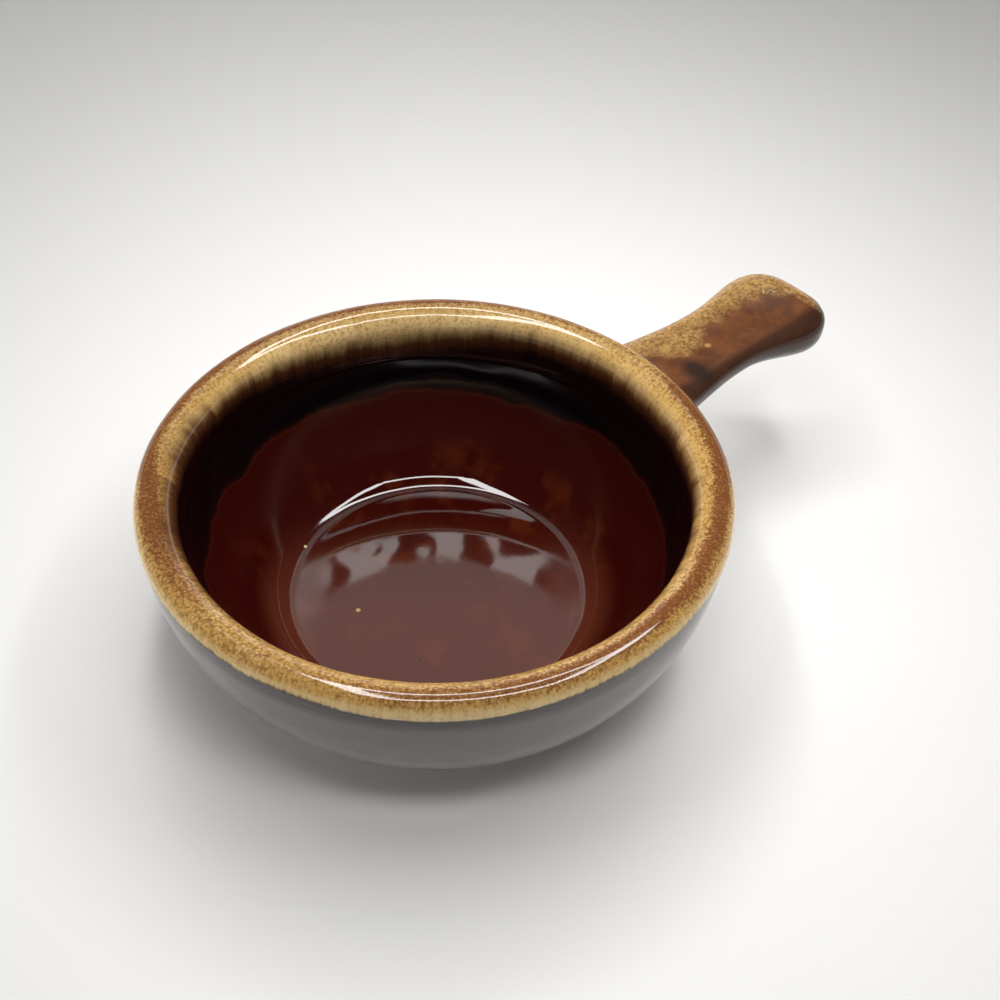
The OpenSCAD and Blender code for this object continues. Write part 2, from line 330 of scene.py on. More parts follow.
def turned(loop, steps, runs=None, wave=None):
    """Spins a closed path of [radius, height] round the bowl's axis. runs has each point's run, kept on its
    vertices, and its share of wave(point), which moves them along their normals."""
    bm = bmesh.new()
    run = bm.verts.layers.float.new("run")
    skin = bm.verts.layers.float.new("skin")
    path = []
    for i, p in enumerate(loop):
        v = bm.verts.new((p[0], 0, p[1]))
        v[run], v[skin] = runs[i] if runs else (0.0, 0.0)
        path.append(v)
    # an edge on the axis itself would spin to nothing
    edges = [bm.edges.new((a, b)) for a, b in zip(path, path[1:] + path[:1]) if max(a.co.x, b.co.x) > 1e-6]
    bmesh.ops.spin(
        bm, geom=path + edges, cent=(0, 0, 0), axis=(0, 0, 1), dvec=(0, 0, 0), angle=TAU, steps=steps,
        use_merge=True,
    )
    weld(bm)
    if wave:
        moves = [(v, v.normal * wave(v.co) * v[skin]) for v in bm.verts if v[skin] > 0]
        for v, move in moves:
            v.co += move
        bm.normal_update()
    return bm


def coat_loop(template, first, last):
    """Closed path round a coat of brown glaze from place first to place last, and its runs."""
    under_step = 4
    over = list(range(first, last + 1))
    under = [i for i in range(last, first - 1, -1) if i in (first, last) or (last - i) % under_step == 0]
    loop = [template.glaze[i] for i in over] + [template.clay[i] for i in under]
    runs = [(template.run[i], 1.0) for i in over] + [(template.run[i], 0.0) for i in under]
    return loop, runs


def make_inside_coat():
    s = sizes()
    t = Template(s)
    loop, runs = coat_loop(t, t.crown, len(t.clay) - 1)
    calm_r, calm_w = 39, 8

    def wave(p):
        # the glaze levels out on the floor
        return glaze_wave(p, s, s.pool_calm * smooth((calm_r - math.hypot(p.x, p.y)) / calm_w))

    bm = turned(loop, s.round_steps, runs, wave)
    return finished(bm, "inside_coat", ["inside_glaze"], inside_material())


def make_outside_coat():
    s = sizes()
    t = Template(s)
    loop, runs = coat_loop(t, 0, t.crown)
    bm = turned(loop, s.round_steps, runs, lambda p: glaze_wave(p, s))
    # parted where the luting meets the clay
    half_w = s.handle_root_w / 2
    top = s.bowl_h - s.handle_drop
    inside = []
    for f in bm.faces:
        c = f.calc_center_median()
        if c.x > 0 and abs(c.y) < half_w and top - s.handle_root_t < c.z < top and abs(f.normal.z) < 0.9:
            inside.append(f)
    bmesh.ops.delete(bm, geom=inside, context="FACES")
    rim = [e for e in bm.edges if len(e.link_faces) == 1]
    bmesh.ops.bridge_loops(bm, edges=rim)
    return finished(bm, "outside_coat", ["outside_glaze"], outside_material())


def make_rim_coat():
    s = sizes()
    t = Template(s)
    places = t.between(DRIP_FROM, DRIP_TO)
    proud, sunk, under_step = 0.03, 0.1, 3
    over = [t.glaze[i] + t.normal[i] * (proud + t.drip_at(t.run[i])) for i in places]
    under = places[::-under_step]
    if under[-1] != places[0]:
        under.append(places[0])
    loop = over + [t.glaze[i] - t.normal[i] * sunk for i in under]
    runs = [(t.run[i], 1.0) for i in places] + [(t.run[i], 0.0) for i in under]
    bm = turned(loop, s.round_steps, runs, lambda p: glaze_wave(p, s))
    return finished(bm, "rim_coat", ["rim_drip_glaze"], rim_material())


def make_underside():
    s = sizes()
    t = Template(s)
    in_r = s.foot_d / 2 - s.foot_w
    g, corner, steps = s.glaze_t, 1.2, 16
    start, bend = Vector((in_r - g, s.foot_wipe)), Vector((in_r - g, s.foot_h - g))
    centre = Vector((0, s.foot_h - g))
    over = [start] + eased(start, bend, centre, corner)
    over += [Vector((bend.x * (1 - i / steps), centre.y)) for i in range(2, steps + 1)]
    under = [Vector((in_r * share, s.foot_h)) for share in (0, 0.5, 1)] + [Vector((in_r, s.foot_wipe))]
    runs = [(t.run[0], 0.0)] * len(over + under)
    bm = turned(over + under, s.round_steps // 2, runs)
    return finished(bm, "underside_coat", ["base_glaze"], outside_material())


def make_foot():
    s = sizes()
    out_r, in_r, c = s.foot_d / 2, s.foot_d / 2 - s.foot_w, s.foot_chamfer
    corners = [Vector(p) for p in ((in_r, s.foot_h), (in_r, 0), (out_r, 0), (out_r, s.foot_h))]
    loop = [corners[0]] + eased(corners[0], corners[1], corners[2], c)
    # turning marks cut by the tool when the foot is trimmed
    marks, mark_depth = 14, 0.05
    for i in range(1, marks):
        loop.append(Vector((blend(in_r + c, out_r - c, i / marks), mark_depth * (i % 2))))
    loop += eased(corners[1], corners[2], corners[3], c) + [corners[3]]
    bm = turned(loop, s.round_steps // 2)
    return finished(bm, "foot", ["foot_ring"], foot_material())


# The handle


class Grip:
    """The stick handle's surface at a distance s from the bare wall and an angle round its section."""

    # places along the handle, as shares of its length
    waist, flare, end, nose = 0.44, 0.9, 0.71, 0.87
    dish_start, dish_end, dish_blend = 0.02, 0.97, 0.34
    # how square the end and the section are: 2 is an ellipse, more is squarer
    end_square, top_square, under_square = 2.6, 3.2, 2.2
    # the ridge's share of the depth, and the hollow's of the width
    top_share, dish_share = 0.36, 0.92
    # the fillet's share of the skin, how far it runs past the luting, and how the rings crowd to the tip
    fillet_share, past, crowd = 0.18, 1.0, 2.2

    def __init__(self, s, template):
        self.s, self.t = s, template
        self.rim_r = s.rim_d / 2
        self.l = s.handle_reach - self.rim_r
        self.start = (s.glaze_t + s.drip_t) / self.l
        self.top = s.bowl_h - s.handle_drop
        self.reach = s.luting_l + self.past

    def along(self, t, root, waist, end):
        near = ((self.waist - max(t, self.start)) / (self.waist - self.start)) ** 2 if t < self.waist else 0
        far = smooth((t - self.waist) / (self.flare - self.waist))
        return waist + (root - waist) * near + (end - waist) * far

    def rounded(self, t, start, power):
        if t < start:
            return 1.0
        return max(0.0, 1 - ((t - start) / (1 - start)) ** power) ** (1 / power)

    def point(self, s, angle, grow):
        part = self.s
        t = s / self.l
        end = self.rounded(t, self.end, self.end_square)
        nose = self.rounded(t, self.nose, 2)
        half_w = (self.along(t, part.handle_root_w, part.handle_waist_w, part.handle_end_w) / 2 + grow) * end
        depth = self.along(t, part.handle_root_t, part.handle_waist_t, part.handle_end_t)
        cos, sin = math.cos(angle), math.sin(angle)
        up = sin > 0
        side = (depth * (self.top_share if up else 1 - self.top_share) + grow) * nose
        square = self.top_square if up else self.under_square
        y = half_w * math.copysign(abs(cos) ** (2 / square), cos)
        height = side * math.copysign(abs(sin) ** (2 / square), sin)
        rise, fall = (t - self.dish_start) / self.dish_blend, (self.dish_end - t) / self.dish_blend
        dish = part.dish_depth * smooth(rise) * smooth(fall) if up else 0
        if dish and half_w > 0:
            height -= dish * max(0, 1 - (y / (half_w * self.dish_share)) ** 2) ** 2
        height += self.top + part.handle_rise * max(t, self.start) - depth * self.top_share
        x = self.rim_r + s
        if s > part.luting_l:
            x += grow * (s - part.luting_l) / (self.l - part.luting_l)
        # near the bowl the rings follow its wall
        share = 1 - smooth((s - part.luting_l) / (2 * part.luting_l))
        if share > 0:
            wall = self.t.wall_at(min(height, part.bowl_h + part.glaze_t - 0.05))[0]
            bent = math.sqrt(max(wall * wall - y * y, 0)) + s - part.glaze_t
            x = blend(x, bent, share)
        return Vector((x, y, height))

    def stand(self, angle):
        """How far the fillet stands round the handle at the wall, at an angle round the section."""
        return blend(self.s.fillet, self.s.fillet_top, max(0.0, math.sin(angle)) ** 0.6)

    def fillet(self, turn, angle, grow, shrink=0.0):
        """Point of the fillet: turn 0 lies on the wall, turn 1 on the handle."""
        a = turn * math.pi / 2
        g = grow + (self.stand(angle) - shrink) * (1 - math.sin(a))
        return self.point(self.s.glaze_t + self.reach * (1 - math.cos(a)), angle, g)

    def skin_point(self, u, angle, grow, shrink=0.0):
        """u from 0, the fillet's edge on the wall, to 1, the tip of the end."""
        share = self.fillet_share
        if u < share:
            return self.fillet(u / share, angle, grow, shrink)
        first = self.s.glaze_t + self.reach
        x = 1 - (1 - (u - share) / (1 - share)) ** self.crowd
        return self.point(first + (self.l - first) * x, angle, grow)


def wrapped(long_steps, round_steps, place, marks=()):
    """Wraps a grid by place(u, angle), which gives a point, u from 0 to 1. Each mark (name, value(u, angle,
    point)) is kept on the vertices."""
    bm = bmesh.new()
    layers = [bm.verts.layers.float.new(name) for name, _ in marks]
    bmesh.ops.create_grid(bm, x_segments=long_steps, y_segments=round_steps, size=0.5)
    for v in bm.verts:
        u, angle = v.co.x + 0.5, (v.co.y + 0.5) * TAU
        v.co = place(u, angle)
        for layer, (_, value) in zip(layers, marks):
            v[layer] = value(u, angle, v.co)
    return bm


# Edge of the drip glaze on the handle, in plan: shares of the handle's length and of half its end's width
TAN_EDGE = (
    (0.0, 0.46), (0.1, 0.42), (0.3, 0.36), (0.5, 0.34), (0.68, 0.36),
    (0.8, 0.3), (0.88, 0.05), (0.93, -0.4), (0.99, -0.62), (1.1, -0.7),
)

# How much less the fillet under the handle's glaze stands than the glazed one
FILLET_SHRINK = 0.6


def plan_edge(x, s, grip):
    """Line in plan, y over x, past which the drip glaze covers the handle."""
    t = (x - grip.rim_r) / grip.l
    across = TAN_EDGE[-1][1]
    for (a, ya), (b, yb) in zip(TAN_EDGE, TAN_EDGE[1:]):
        if t <= b:
            across = blend(ya, yb, smooth((t - a) / (b - a)))
            break
    return across * s.handle_end_w / 2


def tan_share(point, s, grip):
    """Signed distance in millimetres inside the edge of the drip glaze, in plan."""
    step = 0.5
    y = plan_edge(point.x, s, grip)
    slope = (plan_edge(point.x + step, s, grip) - plan_edge(point.x - step, s, grip)) / (2 * step)
    return (point.y - y) / math.sqrt(1 + slope * slope)


def handle_marks(s, grip, along=lambda u: u):
    """Marks for wrapped. along turns its u into the skin's."""
    return (
        ("tan", lambda u, a, p: tan_share(p, s, grip)),
        ("run", lambda u, a, p: grip.t.wall_at(min(p.z, s.bowl_h))[1]),
        ("root", lambda u, a, p: max(0.0, 1 - along(u) / grip.fillet_share)),
        ("side", lambda u, a, p: math.sin(a)),
    )


def make_handle_coat():
    s = sizes()
    grip = Grip(s, Template(s))
    over = 0.72

    def place(u, angle):
        if u < over:
            return grip.skin_point(1 - u / over, angle, s.glaze_t)
        return grip.skin_point((u - over) / (1 - over), angle, 0.0, FILLET_SHRINK)

    bm = wrapped(150, 112, place, handle_marks(s, grip, lambda u: max(0.0, 1 - u / over)))
    return finished(bm, "handle_coat", ["handle_glaze"], handle_material())


def make_handle_streak():
    s = sizes()
    grip = Grip(s, Template(s))
    bm = wrapped(120, 112, lambda u, a: grip.skin_point(u, a, s.glaze_t), handle_marks(s, grip))
    weld(bm)
    tan = bm.verts.layers.float["tan"]
    root = bm.verts.layers.float["root"]
    # the coat ends this far past the drip's edge and up the fillet, and fades over these distances
    edge, root_edge, fade, root_fade = 1.6, 0.35, 4.5, 0.3
    thick, dip, back = s.drip_t * 0.8, 0.06, 0.15
    bare = [f for f in bm.faces if any(v[tan] < -edge or v[root] > root_edge for v in f.verts)]
    bmesh.ops.delete(bm, geom=bare, context="FACES")
    normals = {v: v.normal.copy() for v in bm.verts}
    out = bmesh.ops.extrude_face_region(bm, geom=list(bm.faces), use_keep_orig=True)
    spot = {tuple(round(c, 5) for c in v.co): n for v, n in normals.items()}
    for v in out["geom"]:
        if isinstance(v, bmesh.types.BMVert):
            n = spot[tuple(round(c, 5) for c in v.co)]
            # the edge dips into the brown glaze, so the coat ends in a soft line
            full = smooth((v[tan] + edge) / fade) * smooth((root_edge - v[root]) / root_fade)
            v.co += n * (thick * full - dip)
    for v in normals:
        if v.is_valid:
            v.co -= normals[v] * back
    return finished(bm, "handle_streak", ["handle_drip_glaze"], handle_material())


def make_luting():
    s = sizes()
    grip = Grip(s, Template(s))

    def place(u, angle):
        if u < 0.5:
            return grip.fillet(u * 2, angle, 0.0, FILLET_SHRINK)
        if u > 1 - 1e-6:
            return grip.fillet(0, angle, 0.0, FILLET_SHRINK)
        a, depth = (1 - u) * math.pi, 0.4
        return grip.point(s.glaze_t + grip.reach * (1 - math.cos(a)), angle, -depth)

    bm = wrapped(48, 96, place)
    return finished(bm, "luting_fillet", ["handle_luting"], luting_material())


# Materials


class Graph:
    """Short ways to add nodes to a tree."""

    def __init__(self, tree):
        self.tree = tree

    def put(self, socket, value):
        if isinstance(value, bpy.types.NodeSocket):
            self.tree.links.new(value, socket)
        else:
            socket.default_value = (*value, 1) if socket.type == "RGBA" else value

    def node(self, kind, inputs=None, **settings):
        n = self.tree.nodes.new("ShaderNode" + kind)
        for name, value in settings.items():
            setattr(n, name, value)
        for name, value in (inputs or {}).items():
            self.put(n.inputs[name], value)
        return n

    def fed(self, kind, values, **settings):
        """A node with its first inputs filled in their order."""
        n = self.node(kind, **settings)
        for socket, value in zip(n.inputs, values):
            self.put(socket, value)
        return n

    def math(self, operation, *values, clamp=False):
        return self.fed("Math", values, operation=operation, use_clamp=clamp).outputs[0]

    def plus(self, first, *others):
        for other in others:
            first = self.math("ADD", first, other)
        return first

    def minus(self, a, b):
        return self.math("SUBTRACT", a, b)

    def times(self, first, *others):
        for other in others:
            first = self.math("MULTIPLY", first, other)
        return first

    def vector(self, operation, *values, scale=None):
        n = self.fed("VectorMath", values, operation=operation)
        if scale is not None:
            self.put(n.inputs["Scale"], scale)
        return n.outputs["Value"] if operation in ("DISTANCE", "DOT_PRODUCT") else n.outputs[0]

    def ranged(self, value, a, b, c=0.0, d=1.0, kind="SMOOTHSTEP"):
        return self.fed("MapRange", (value, a, b, c, d), interpolation_type=kind).outputs[0]

    def share(self, value, c, d):
        """Value from 0 to 1 turned straight into one from c to d."""
        return self.ranged(value, 0.0, 1.0, c, d, "LINEAR")

    def mix(self, share, a, b):
        n = self.node("Mix", data_type="RGBA")
        self.put(n.inputs[0], share)
        self.put(n.inputs[6], a)
        self.put(n.inputs[7], b)
        return n.outputs[2]

    def ramp(self, value, stops):
        n = self.node("ValToRGB")
        while len(n.color_ramp.elements) < len(stops):
            n.color_ramp.elements.new(0.5)
        for e, (place, c) in zip(n.color_ramp.elements, stops):
            e.position = place
            e.color = (*c, 1)
        self.put(n.inputs[0], value)
        return n.outputs[0]

    def noise(self, vector, size, detail=2.0, roughness=0.5, distortion=0.0):
        """Noise from 0 to 1 with features of about size, in the vector's units."""
        look = {"Detail": detail, "Roughness": roughness, "Distortion": distortion}
        return self.node("TexNoise", {"Vector": vector, "Scale": 1 / size, **look}).outputs[0]

    def combine(self, x, y, z):
        return self.fed("CombineXYZ", (x, y, z)).outputs[0]

    def separate(self, vector):
        return self.node("SeparateXYZ", {"Vector": vector}).outputs

    def attribute(self, name):
        return self.node("Attribute", attribute_name=name).outputs["Fac"]

    def end(self, kind, shader):
        self.node("Output" + kind, {"Surface": shader.outputs[0]})


def node_group(name, inputs, outputs):
    """Turns fill(graph, vector, inputs, outputs) into use(graph, vector, **values), which puts a node of the
    group into a graph and gives its outputs. inputs gives the values their defaults, outputs their kinds."""

    def wrap(fill):
        @cache
        def tree():
            made = bpy.data.node_groups.new(name, "ShaderNodeTree")

            def socket(title, way, kind):
                return made.interface.new_socket(name=title, in_out=way, socket_type="NodeSocket" + kind)

            socket("Vector", "INPUT", "Vector")
            for title, default in inputs.items():
                socket(title, "INPUT", "Float").default_value = default
            for title, kind in outputs.items():
                socket(title, "OUTPUT", kind)
            source = made.nodes.new("NodeGroupInput").outputs
            fill(Graph(made), source["Vector"], source, made.nodes.new("NodeGroupOutput").inputs)
            return made

        def use(g, vector, **values):
            return g.node("Group", {"Vector": vector, **values}, node_tree=tree()).outputs

        return use

    return wrap


def graph_of(owner):
    """The Graph of a material or world, cleared."""
    owner.use_nodes = True
    owner.node_tree.nodes.clear()
    return Graph(owner.node_tree)


def ceramic(name):
    """Turns look(graph, vector), which gives a colour, a height in millimetres, a roughness and an index of
    refraction, into a way to get a material of that name, made once."""

    def wrap(look):
        @cache
        def get():
            material = bpy.data.materials.new(name)
            g = graph_of(material)
            vector = g.vector("SCALE", g.node("TexCoord").outputs["Object"], scale=1 / MM)
            base, height, roughness, ior = look(g, vector)
            bump = g.node("Bump", {"Height": height, "Strength": 1.0, "Distance": MM}).outputs[0]
            skin = {"Base Color": base, "Roughness": roughness, "IOR": ior, "Normal": bump}
            g.end("Material", g.node("BsdfPrincipled", skin))
            return material

        return get

    return wrap


@node_group(
    "froth_mottle", {"Cover": 0.5, "Grain": 0.8, "Softness": 0.12}, {"Mask": "Float", "Relief": "Float"}
)
def froth_group(g, vector, src, out):
    """Frothy mottling of the drip glaze: blobs that cover the given share."""
    grain, soft = src["Grain"], src["Softness"]
    p = g.vector("DIVIDE", vector, g.combine(grain, grain, grain))
    bend = g.node("TexNoise", {"Vector": p, "Scale": 0.9, "Detail": 2.0})
    p2 = g.vector("ADD", p, g.vector("SCALE", bend.outputs["Color"], scale=0.9))
    cells = g.node("TexVoronoi", {"Vector": p2, "Scale": 1.0, "Randomness": 1.0}, feature="SMOOTH_F1")
    grains = g.node("TexNoise", {"Vector": p, "Scale": 1.3, "Detail": 3.0, "Roughness": 0.6}).outputs[0]
    field = g.plus(g.times(g.minus(0.75, cells.outputs["Distance"]), 0.7), g.times(grains, 0.62))
    low = g.minus(g.share(src["Cover"], 0.86, 0.12), soft)
    high = g.plus(low, g.times(soft, 2.0))
    g.put(out["Mask"], g.ranged(field, low, high))
    g.put(out["Relief"], field)


@node_group("run_streaks", {"Run": 0.0, "Width": 0.5, "Length": 6.0}, {"Shift": "Float"})
def streak_group(g, vector, src, out):
    """Fine streaks that run down the wall: a shift from -1 to 1 that changes fast round the bowl."""
    rim = 62.0
    x, y, _ = g.separate(vector)
    around = g.vector("SCALE", g.vector("NORMALIZE", g.combine(x, y, 0.0)), scale=rim)
    x, y, _ = g.separate(g.vector("DIVIDE", around, g.combine(src["Width"], src["Width"], 1.0)))
    place = g.combine(x, y, g.math("DIVIDE", src["Run"], src["Length"]))
    n = g.node("TexNoise", {"Vector": place, "Scale": 0.55, "Detail": 2.5, "Roughness": 0.65}).outputs[0]
    g.put(out["Shift"], g.ranged(n, 0.2, 0.8, -1.0, 1.0, "LINEAR"))


@node_group("brown_glaze_colour", {"Run": 0.0}, {"Colour": "Color"})
def brown_group(g, vector, src, out):
    """Colour of the brown glaze at a place inside or outside the bowl."""
    c = bpy.context.scene.glaze_colours
    streak = streak_group(g, vector, Run=src["Run"], Width=0.9, Length=30.0)["Shift"]
    slow = g.minus(g.noise(vector, 16.0, 2.0), 0.5)
    run = g.plus(src["Run"], g.times(slow, 8.0), g.times(streak, 0.5))
    # distances from the crown, down the inside and then down the outside
    black_ends, reflection_line_begins, reflection_line_ends, floor_begins = (24.2, 27.6), (25.6, 26.2), (26.9, 26.3), (42.0, 50.0)
    thin_begins, outside_begins, ink_ends = (30.0, 46.0), (-3.0, -5.0), (-6.0, -10.5)
    # just under the rim the inside is near black: the glaze's own dark band, with painted shade under the lip
    inside = g.mix(g.ranged(run, *black_ends), c.black, c.mahogany)
    # a faint orange line along the black band's lower edge: a painted reflection
    line = g.times(g.ranged(run, *reflection_line_begins), g.ranged(run, *reflection_line_ends))
    inside = g.mix(g.times(line, 0.12), inside, c.orange)
    # the floor is paler than the wall, and more so on its near side
    side = g.vector("DOT_PRODUCT", vector, faced((0, 1, 0)))
    pale = g.plus(side, g.times(slow, 14.0))
    floor = g.mix(g.ranged(pale, 34.0, -12.0), c.mahogany, c.chestnut)
    inside = g.mix(g.ranged(src["Run"], *floor_begins), inside, floor)
    thin = g.noise(vector, 9.0, 2.0)
    thin = g.times(g.ranged(thin, 0.5, 0.75), g.ranged(src["Run"], *thin_begins))
    inside = g.mix(g.times(thin, 0.22), inside, c.orange)
    # specks on the floor and in the cove
    flat = g.vector("MULTIPLY", vector, (1.0, 1.0, 0.0))
    for place, size, speck in (
        ((-19.5, -6.3, 0), 0.7, c.golden),
        ((-4.4, -21.9, 0), 0.4, c.ink),
        ((-33.8, 15.0, 0), 0.5, c.cream),
    ):
        away = g.vector("DISTANCE", flat, faced(place))
        inside = g.mix(g.ranged(away, size, size * 0.6), inside, speck)
    # down the outside: a dark line under the drip's edge, then the grey brown with its painted reflection of
    # the table
    outside = g.mix(g.ranged(src["Run"], *ink_ends), c.ink, c.outer)
    g.put(out["Colour"], g.mix(g.ranged(src["Run"], *outside_begins), inside, outside))


# Round the rim, in degrees from the handle: where the bare brown band over the crown begins and ends, how far
# the drip glaze is gone from it, where the drip glaze ends inside and outside, and how pale it is inside. The
# places are millimetres from the crown.
ROUND_RIM = (
    (-180, -0.8, 3.0, 0.50, 5.2, -4.6, 0.05),
    (-170, -0.6, 2.4, 0.15, 6.0, -4.4, 0.10),
    (-146, -0.8, 1.4, 0.25, 6.0, -4.4, 0.15),
    (-134, -1.8, 1.0, 0.65, 6.0, -5.6, 0.15),
    (-121, -1.8, 1.9, 0.70, 6.0, -5.9, 0.15),
    (-106, -1.6, 1.9, 0.85, 6.0, -4.5, 0.15),
    (-80, -1.0, 1.9, 1.00, 6.0, -4.6, 0.15),
    (-56, -1.3, 1.8, 1.00, 5.8, -5.6, 0.20),
    (-36, -2.6, 1.0, 1.00, 6.4, -5.6, 0.30),
    (-20, -5.6, 0.9, 1.00, 6.6, -5.6, 0.40),
    (-11, -5.6, 0.6, 0.85, 6.8, -5.6, 0.45),
    (-4, -3.4, 0.0, 0.20, 6.8, -5.6, 0.50),
    (12, -3.4, 0.0, 0.20, 6.4, -5.6, 0.50),
    (23, -4.6, -0.1, 0.90, 6.6, -5.6, 0.60),
    (39, -5.0, 0.3, 1.00, 7.6, -5.6, 0.80),
    (50, -5.0, 0.4, 1.00, 9.8, -5.6, 1.00),
    (72, -5.0, 0.4, 1.00, 11.0, -5.6, 1.00),
    (92, -5.0, 0.4, 1.00, 9.4, -5.6, 0.85),
    (108, -5.0, 0.3, 1.00, 6.8, -5.6, 0.60),
    (134, -4.8, -0.1, 1.00, 4.4, -5.6, 0.35),
    (147, -2.2, 1.8, 0.90, 3.6, -5.4, 0.10),
    (160, -1.2, 3.4, 0.90, 3.8, -5.0, 0.00),
    (180, -0.8, 3.0, 0.50, 5.2, -4.6, 0.05),
)


@node_group("drip_bands", {"Run": 0.0}, {"Colour": "Color", "Relief": "Float"})
def rim_group(g, vector, src, out):
    """Bands of the drip glaze over the rim, by the distance from the crown in millimetres."""
    c = bpy.context.scene.glaze_colours
    run = src["Run"]
    x, y, _ = g.separate(vector)
    turn = g.ranged(g.math("ARCTAN2", y, x), -math.pi, math.pi, kind="LINEAR")
    low, high = -6.0, 14.0

    def packed(place):
        return (place - low) / (high - low)

    def round_rim(first):
        """Three columns of ROUND_RIM from the given one on: two places and a share."""
        columns = [(row[0], *row[first : first + 3]) for row in ROUND_RIM]
        stops = [((angle + 180) / 360, (packed(a), packed(b), share)) for angle, a, b, share in columns]
        a, b, share = g.node("SeparateColor", {"Color": g.ramp(turn, stops)}).outputs
        return g.share(a, low, high), g.share(b, low, high), share

    begins, ends, gone = round_rim(1)
    inner_end, outer_end, pale = round_rim(4)
    streak = streak_group(g, vector, Run=run, Width=0.4, Length=9.0)["Shift"]
    wide = streak_group(g, vector, Run=run, Width=2.6, Length=24.0)["Shift"]
    slow = g.minus(g.noise(vector, 9.0, 2.0), 0.5)
    fine = g.minus(g.noise(vector, 0.8, 2.0, 0.6), 0.5)

    def wander(value, *amounts):
        """The value shifted by so much of each of the slow, fine, streaked and wide noises."""
        return g.plus(value, *(g.times(n, amount) for n, amount in zip((slow, fine, streak, wide), amounts)))

    # over the crown
    at = wander(run, 2.4, 2.0)
    bare = g.times(g.ranged(g.minus(at, begins), -1.2, 1.2), g.ranged(g.minus(at, ends), 1.4, -1.2), gone)
    inner_thick = g.ranged(g.minus(run, ends), 0.8, 4.5)
    outer_thick = g.ranged(wander(run, 1.5, 0.8), -1.8, -4.0)
    thickest = g.math("MAXIMUM", inner_thick, outer_thick)
    cover = g.plus(0.52, g.times(thickest, 0.3), g.times(outer_thick, 0.12), g.times(bare, -0.36))
    froth = froth_group(g, vector, Cover=cover, Grain=0.6, Softness=0.26)
    # inside, the drip glaze thins out in long soft streaks, and outside it ends in a short ragged edge
    inner = g.minus(wander(run, 2.8, 1.0, 0.9, 1.6), inner_end)
    left = g.ranged(inner, 6.5, -4.5, kind="LINEAR")
    outer = g.ranged(g.minus(wander(run, 0.8, 0.5, 0.28, 0.25), outer_end), -0.1, 0.8)
    pale_inside = g.times(inner_thick, g.share(pale, 0.0, 0.7))
    thick = g.math("MAXIMUM", pale_inside, outer_thick)
    shade = g.plus(g.times(slow, 0.9), g.times(streak, 0.28))
    thick = g.math("ADD", g.times(thick, 0.85), shade, clamp=True)
    tan = g.mix(thick, c.golden, c.cream)
    grain = g.plus(g.times(fine, 1.2), g.times(streak, 0.12))
    dark = g.times(g.ranged(grain, 0.05, -0.3), g.ranged(outer_thick, 0, 1, 0.6, 0.25))
    tan = g.mix(dark, tan, c.toffee)
    brown = g.mix(g.ranged(bare, 0.0, 0.7), c.toffee, c.crown)
    mask = g.times(froth["Mask"], g.ranged(bare, 1.0, 0.2, 0.55, 1.0))
    coat = g.mix(mask, brown, tan)
    under = brown_group(g, vector, Run=run)["Colour"]
    # where it thins, the drip glaze sinks into a dark brown mixed from that near black, which carries painted
    # shade under the lip
    sunk = g.mix(g.ranged(left, 0.06, 0.55), under, g.mix(0.42, c.black, c.crown))
    inside = g.mix(g.ranged(left, 0.42, 0.94), sunk, coat)
    g.put(out["Colour"], g.mix(outer, under, inside))
    g.put(out["Relief"], g.times(froth["Relief"], outer, g.ranged(left, 0.5, 0.9)))


@node_group("glaze_peel", {"Depth": 0.01}, {"Height": "Float"})
def peel_group(g, vector, src, out):
    """Fine unevenness of a fired glaze, as a height in millimetres."""
    wide = g.noise(vector, 5.0, 2.0, 0.5)
    fine = g.noise(vector, 0.7, 2.0, 0.5)
    g.put(out["Height"], g.times(g.plus(wide, g.times(fine, 0.12)), src["Depth"]))


@ceramic("brown_glaze_inside")
def inside_material(g, vector):
    base = brown_group(g, vector, Run=g.attribute("run"))["Colour"]
    height = peel_group(g, vector, Depth=0.003)["Height"]
    # a little duller down the wall and at the sides than in the cove and on the floor
    run = g.attribute("run")
    wall = g.times(g.ranged(run, 20.0, 26.0), g.ranged(run, 45.0, 38.0))
    across = g.math("ABSOLUTE", g.vector("DOT_PRODUCT", vector, faced((1, 0, 0))))
    dull = g.math("MAXIMUM", g.ranged(wall, 0, 1, 0.03, 0.18), g.ranged(across, 24.0, 32.0, 0.03, 0.09))
    return base, height, dull, 1.55


@ceramic("brown_glaze_outside")
def outside_material(g, vector):
    base = brown_group(g, vector, Run=g.attribute("run"))["Colour"]
    height = peel_group(g, vector, Depth=0.012)["Height"]
    return base, height, 0.1, 1.62


@ceramic("drip_glaze_rim")
def rim_material(g, vector):
    bands = rim_group(g, vector, Run=g.attribute("run"))
    peel = peel_group(g, vector, Depth=0.012)["Height"]
    height = g.plus(peel, g.times(bands["Relief"], 0.004))
    return bands["Colour"], height, 0.06, 1.5


